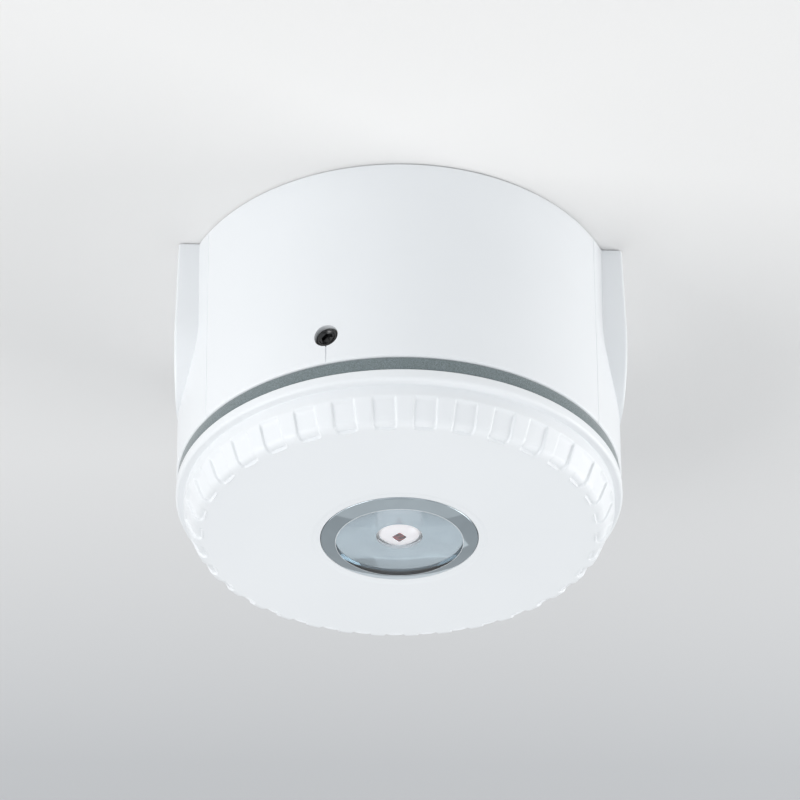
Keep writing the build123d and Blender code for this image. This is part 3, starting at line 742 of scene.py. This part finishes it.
def build_lock_screw():
    """Black grub screw with a rounded end and a hexagon socket."""
    steps = 72
    outline = rounded([(LOCK_R, LOCK_IN), (LOCK_R, LOCK_OUT, 0.5), (1.75, LOCK_OUT), (1.55, LOCK_OUT - 0.25)])
    rings = [circle(r, z, steps) for r, z in outline]

    def hex_ring(z, size):
        """Hexagon with as many points as a circle of the screw."""
        ring = []
        for k in range(steps):
            a = 2 * pi * k / steps
            reach = size * cos(pi / 6) / cos((a % (pi / 3)) - pi / 6)
            ring.append((reach * cos(a), reach * sin(a), z))
        return ring

    rings.append(hex_ring(LOCK_OUT - 0.4, LOCK_SOCKET))
    rings.append(hex_ring(LOCK_OUT - 1.5, LOCK_SOCKET))
    rings.append([(0, 0, LOCK_OUT - 1.9)])
    bore_end = LOCK_IN + 1.5
    inner = [[(0, 0, bore_end)], circle(LOCK_BORE_R, bore_end, steps), circle(LOCK_BORE_R, LOCK_IN, steps)]
    shape = placed(skin(inner + rings), outwards(LOCK_ANGLE, LOCK_Z) @ turn(14))
    dress(plain_mesh("grub_screw", shape), "lock_black", "lock_screw", "lock_screw")


build_lock_screw()


# ---------------------------------------------------------------- front cover


# Places across one recess where its mesh lines run, as shares of its half width
RECESS_LINES = (0, 0.4, 0.76, 0.87, 0.94, 1.0, 1.06, 1.13, 1.3)


def pitch_angles(radius):
    """Angles in degrees across one pitch at a radius, closest together at the recess's sides."""
    pitch = 360 / RECESS_COUNT
    half = [degrees(share * RECESS_HALF_W / max(radius, 42.0)) for share in RECESS_LINES]
    half.append((half[-1] + pitch / 2) / 2)
    return [-a for a in reversed(half[1:])] + half + [pitch / 2]


def recess_depth(radius, angle, z):
    """Depth of the moulded recess at a radius, an angle off its middle and a height."""
    across = abs(radius * sin(radians(angle)))
    along = radius * cos(radians(angle))
    over_side = across - (RECESS_HALF_W - RECESS_CORNER_R)
    over_end = RECESS_INNER_R + RECESS_CORNER_R - along
    outside = hypot(max(over_side, 0), max(over_end, 0)) + min(max(over_side, over_end), 0) - RECESS_CORNER_R
    sides = blend(RECESS_EDGE / 2, -RECESS_EDGE / 2, outside)
    top = blend(RECESS_TOP_Z + 0.5, RECESS_TOP_Z - 0.7, z)
    return RECESS_DEPTH * sides * top


def cover_outline():
    """Cross-section of the cover from the inside of the rim round to the lens hole and back."""
    slope = tan(radians(SLOPE_DEG))
    face_r = DRUM_R - (SLOPE_TOP_Z - FACE_Z) * slope
    inner_z = FACE_Z + COVER_WALL
    inner_r = DRUM_R - COVER_WALL
    outside = rounded([
        (inner_r, RIM_TOP), (RIM_R, RIM_TOP, 0.25), (RIM_R, LEDGE_Z, 0.8), (DRUM_R, LEDGE_Z, 0.3),
        (DRUM_R, SLOPE_TOP_Z, 1.2), (face_r, FACE_Z, FACE_EDGE_R), (RECESS_INNER_R - 1.0, FACE_Z),
        (DISH_R + 0.4, FACE_Z, 0.8), (DISH_R - 0.3, FACE_Z + 0.12, 0.5),
        (LENS_HOLE_R, FACE_Z + 0.13, 0.12), (LENS_HOLE_R, inner_z),
    ], 9)
    inside = [Vector((face_r - 2.2, inner_z)), Vector((inner_r, SLOPE_TOP_Z)), Vector((inner_r, RIM_TOP))]

    def limit(point):
        """Longest stretch allowed at a point: short where the recesses run."""
        in_recess = point.y < SLOPE_TOP_Z + 0.6 and point.x > RECESS_INNER_R - 1.0
        return 0.3 if in_recess else 6.0

    return divided(outside, limit) + inside


def cover_shape():
    """Cover turned from its cross-section, pressed inwards at each recess."""
    outline = cover_outline()
    rings = []
    count = len(outline)
    for k, point in enumerate(outline[:-1]):
        along = (outline[(k + 1) % count] - outline[k - 1]).normalized()
        inwards = Vector((-along.y, along.x))
        if inwards.x > 0:
            inwards = -inwards
        recessed = point.x > RECESS_INNER_R - 1.0 and point.y < SLOPE_TOP_Z + 0.6 and k < count - 4
        ring = []
        for pitch in range(RECESS_COUNT):
            middle = RECESS_PHASE + pitch * 360 / RECESS_COUNT
            for angle in pitch_angles(point.x):
                depth = recess_depth(point.x, angle, point.y) if recessed else 0.0
                r = point.x + depth * inwards.x
                turned = radians(middle + angle)
                ring.append((r * cos(turned), r * sin(turned), point.y + depth * inwards.y))
        rings.append(ring)
    return skin(rings, closed=True)


def build_cover():
    """Cover and the screw bosses on its inside."""
    cover = plain_mesh("cover", cover_shape())
    dress(cover, "housing_white", "head", "front_cover")
    inner_z = FACE_Z + COVER_WALL
    plate_low = -48.0
    board_low = low("control_pcb").z
    bosses = []
    for angle in POST_ANGLES:
        stepped = rounded([
            (1.3, plate_low), (3.5, plate_low, 0.3), (3.5, board_low), (5.0, board_low, 0.3),
            (5.0, inner_z), (1.3, inner_z),
        ])
        bosses.append(placed(lathe(stepped, 40), polar(BOSS_CIRCLE_R, angle)))
    for angle in EAR_ANGLES:
        bosses.append(placed(tube(2.4, 0.9, inner_z, LENS_FLANGE_Z), polar(EAR_CIRCLE_R, angle)))
    dress(plain_mesh("cover_bosses", joined(*bosses)), "housing_white", "head")


build_cover()


# ---------------------------------------------------------------- lens and lamp


def build_lens():
    """Clear window with a mirrored bevel and bore and a painted highlight: a pale line round its front."""
    flange_low = LENS_FLANGE_Z - 1.2
    bevel_z = FACE_Z + 0.13
    inner_z = LENS_FRONT_Z + WINDOW_T
    outline = rounded([
        (0, LENS_FRONT_Z), (LENS_FRONT_R, LENS_FRONT_Z, 0.3), (LENS_R, bevel_z, 0.15), (LENS_R, flange_low),
        (LENS_FLANGE_R, flange_low, 0.2), (LENS_FLANGE_R, LENS_FLANGE_Z, 0.2), (LENS_BORE_R, LENS_FLANGE_Z),
        (LENS_BORE_R, inner_z, 0.5), (0, inner_z),
    ])
    window = plain_mesh("window", lathe(outline, 240, closed=False))
    dress(window, "lens_clear", "head", "lens")
    window.data.materials.append(MATERIALS["reflector_chrome"])
    window.data.materials.append(MATERIALS["painted_rim_highlight"])
    for face in window.data.polygons:
        middle = face.center / MM
        r = hypot(middle.x, middle.y)
        bevel_in = LENS_FRONT_R + 0.1
        bevel_top = bevel_z + 0.05
        # Faces just inside the front rim get the pale band, a painted highlight for the bright line along the
        # rounded rim.
        on_rim_highlight = LENS_FRONT_R - RIM_HIGHLIGHT_W < r <= bevel_in and middle.z < LENS_FRONT_Z + 0.32
        on_bevel = r > bevel_in and middle.z < bevel_top
        on_side = r > LENS_BORE_R - 0.2 and middle.z >= bevel_top
        if on_rim_highlight:
            face.material_index = 2
        elif on_bevel or on_side:
            face.material_index = 1


def build_reflector():
    """Dished mirror with a rolled rim, its flange and three screw ears."""
    rim_z, eye_z = MIRROR_RIM_Z, MIRROR_EYE_Z
    rim_r, eye_r = MIRROR_RIM_R, MIRROR_EYE_R
    outer = MIRROR_R
    flange_top = LENS_FLANGE_Z + 0.8
    reach = rim_r - eye_r
    drop = rim_z - eye_z
    dish = [Vector((eye_r + reach * t, eye_z + drop * t ** MIRROR_CURVE)) for t in spread(0, 1, 24)]
    back = rounded([
        (rim_r + 0.05, rim_z - 0.1, 0.1), (rim_r + 0.3, rim_z - 0.1, 0.1), (outer, rim_z + 0.4, 0.2),
        (outer, LENS_FLANGE_Z), (LENS_FLANGE_R, LENS_FLANGE_Z, 0.15), (LENS_FLANGE_R, flange_top, 0.15),
        (outer - 0.8, flange_top, 0.3), (outer - 1.2, rim_z + 1.4, 0.4), (eye_r, eye_z + 0.8),
    ])
    shapes = [lathe(dish + back, 200)]
    for angle in EAR_ANGLES:
        ear = rounded([
            (1.1, LENS_FLANGE_Z), (2.6, LENS_FLANGE_Z, 0.15), (2.6, flange_top, 0.15), (1.1, flange_top),
        ], 4)
        shapes.append(placed(lathe(ear, 40), polar(EAR_CIRCLE_R, angle)))
    for side in (-9.0, 9.0):
        shapes.append(placed(tube(1.6, 0.7, eye_z - 0.05, low("led_board").z), at(side, 0, 0)))
    dress(plain_mesh("mirror", joined(*shapes)), "reflector_chrome", "head", "reflector")


def build_lamp():
    """Domed lamp lens, its white package with a painted glow, and the chip under the dome."""
    box_low, box_high = low("led_lens"), high("led_lens")
    foot_r = box_high.x - 0.7
    dome_r = foot_r - 0.3
    base_z = box_high.z - 0.5
    height = base_z - box_low.z
    ball = (dome_r ** 2 + height ** 2) / (2 * height)
    angles = spread(0, asin(dome_r / ball), 20)
    arc = [Vector((ball * sin(a), box_low.z + ball * (1 - cos(a)))) for a in angles]
    seat_z = box_high.z - 0.02
    foot = rounded([(foot_r, base_z, 0.2), (foot_r, seat_z), (0, seat_z)])
    dress(plain_mesh("lamp_dome", lathe(arc + foot, 120, closed=False)), "lens_clear", "head", "led_lens")

    face_z, back_z = low("led_package").z, high("led_package").z
    lip_z = face_z - 0.05
    cup = rounded([(4.3, back_z), (4.3, lip_z, 0.2), (3.7, lip_z, 0.2), (2.0, face_z), (0, face_z)])
    cup.insert(0, Vector((0, back_z)))
    dress(plain_mesh("lamp_package", lathe(cup, 96, closed=False)), "led_ceramic", "head", "led_package")

    chip_low, chip_high = low("led_die").z, high("led_die").z
    rings = [
        [(0, 0, chip_high)], soft_square(CHIP_SIZE, chip_high, 0.08),
        soft_square(CHIP_SIZE, chip_low + 0.06, 0.08), soft_square(CHIP_SIZE - 0.12, chip_low, 0.06),
        [(0, 0, chip_low)],
    ]
    dress(plain_mesh("lamp_chip", placed(skin(rings), turn(45))), "die_red", "head", "led_die")


build_lens()
build_reflector()
build_lamp()


# ---------------------------------------------------------------- the other CAD nodes keep their shape


def dress_frame():
    """Gives every CAD node that still shows the finish of its own slot."""
    for entry in frame["record"]["subparts"]:
        node = frame["nodes"][entry["node"]]
        if node.hide_render:
            continue
        node.data.materials.clear()
        node.data.materials.append(MATERIALS[entry["material_slot"]])


dress_frame()


# ---------------------------------------------------------------- stage, light and camera


def softbox(name, azimuth, elevation, power, width=0.5, height=0.5, colour=(1, 1, 1)):
    """Soft light aimed at the part; azimuth 0 is in front and elevation is above the horizon."""
    a, e = radians(azimuth), radians(elevation)
    away = Vector((sin(a) * cos(e), -cos(a) * cos(e), sin(e)))
    data = bpy.data.lights.new(name, "AREA")
    data.shape = "RECTANGLE"
    data.size = width
    data.size_y = height
    data.energy = power
    data.color = colour
    light = bpy.data.objects.new(name, data)
    bpy.context.scene.collection.objects.link(light)
    light.location = Vector((0, 0, -0.035)) + away * LIGHT_DISTANCE
    light.rotation_euler = away.to_track_quat("Z", "Y").to_euler()
    return light


def build_stage():
    """Pale ceiling that the beacon hangs from, with painted shade darkening it towards the back, open over
    the part's back so that light gets to it.
    """
    verts = []
    for a in spread(0, 2 * pi, 96)[:-1]:
        reach = CEILING_HALF / max(abs(cos(a)), abs(sin(a)))
        for r in (BACK_HOLE_R, reach):
            verts.append((r * cos(a) * MM, r * sin(a) * MM, CEILING_GAP * MM))
    total = len(verts)
    faces = [(k, (k + 2) % total, (k + 3) % total, k + 1) for k in range(0, total, 2)]
    mesh = bpy.data.meshes.new("ceiling")
    mesh.from_pydata(verts, [], faces)
    ceiling = bpy.data.objects.new("ceiling", mesh)
    bpy.context.scene.collection.objects.link(ceiling)
    finish = Finish("ceiling_paint_and_shade", Roughness=0.9, Specular_IOR_Level=0.2)
    split = finish.nodes.new("ShaderNodeSeparateXYZ")
    finish.links.new(finish.place, split.inputs[0])
    # Painted shade: the ceiling's colour darkens from front to back, standing in for light falling off across
    # it.
    painted_falloff = finish.nodes.new("ShaderNodeMapRange")
    painted_falloff.inputs["From Min"].default_value = -0.05
    painted_falloff.inputs["From Max"].default_value = 0.26
    finish.links.new(split.outputs["Y"], painted_falloff.inputs["Value"])
    near, far_shade = (0.83, 0.82, 0.81), (0.58, 0.585, 0.595)
    finish.wire(finish.ramp(painted_falloff.outputs["Result"], near, far_shade, 0.0, 1.0), "Base Color")
    finish.bump(finish.noise(1.2), 0.02)
    side = finish.nodes.new("ShaderNodeNewGeometry").outputs["Backfacing"]
    open_air = finish.nodes.new("ShaderNodeBsdfTransparent")
    choose = finish.nodes.new("ShaderNodeMixShader")
    finish.links.new(side, choose.inputs[0])
    finish.links.new(finish.shader.outputs[0], choose.inputs[1])
    finish.links.new(open_air.outputs[0], choose.inputs[2])
    finish.links.new(choose.outputs[0], finish.nodes["Material Output"].inputs["Surface"])
    mesh.materials.append(finish.material)


def build_light():
    """Even sky and softboxes all round, strongest on the left front and on the right."""
    world = bpy.data.worlds.new("studio")
    world.use_nodes = True
    world.node_tree.nodes["Background"].inputs["Color"].default_value = (0.93, 0.97, 1.0, 1)
    world.node_tree.nodes["Background"].inputs["Strength"].default_value = 0.45
    bpy.context.scene.world = world
    cool = (0.94, 0.985, 1.03)
    softbox("right_low", 100, -12, 2.4)
    softbox("right_side", 100, -35, 1.9)
    softbox("right_front", 65, -12, 0.7)
    softbox("left_side", -100, -35, 0.8)
    softbox("left_low", -100, -12, 0.4)
    softbox("left_key", -65, -35, 3.0)
    softbox("front_left", -35, -12, 0.88, colour=cool)
    softbox("front_right", 35, -12, 0.38, colour=cool)
    softbox("front", 0, -12, 0.4, colour=cool)
    softbox("below", 0, -90, 0.62)
    softbox("back_panel", 176, -32, 0.16, 0.52, 0.26, colour=(0.97, 1.0, 1.03))
    softbox("back_low", 178, -62, 0.18, 1.1, 0.3)
    softbox("back_spot", 180, -42, 0.008, 0.11, 0.09)


def build_camera():
    """Camera at the photograph's place: below and in front, looking up."""
    swing = -2.0
    distance = 0.36488
    height = -0.28481
    pitch = radians(35.30)
    roll = radians(-0.41)
    forward = Vector((0, cos(pitch), sin(pitch)))
    up = Vector((0, -sin(pitch), cos(pitch)))
    right = Vector((1, 0, 0))
    axis_x = cos(roll) * right + sin(roll) * up
    axis_y = -sin(roll) * right + cos(roll) * up
    data = bpy.data.cameras.new("camera")
    data.sensor_width = 36.0
    data.lens = 86.17
    data.shift_x = 0.002
    data.clip_start = 0.01
    camera = bpy.data.objects.new("camera", data)
    bpy.context.scene.collection.objects.link(camera)
    turned = Matrix((axis_x, axis_y, -forward)).transposed().to_4x4()
    camera.matrix_world = turn(swing) @ Matrix.Translation((0, -distance, height)) @ turned
    bpy.context.scene.camera = camera


build_stage()
build_light()
build_camera()
bpy.context.scene.view_settings.view_transform = "Standard"
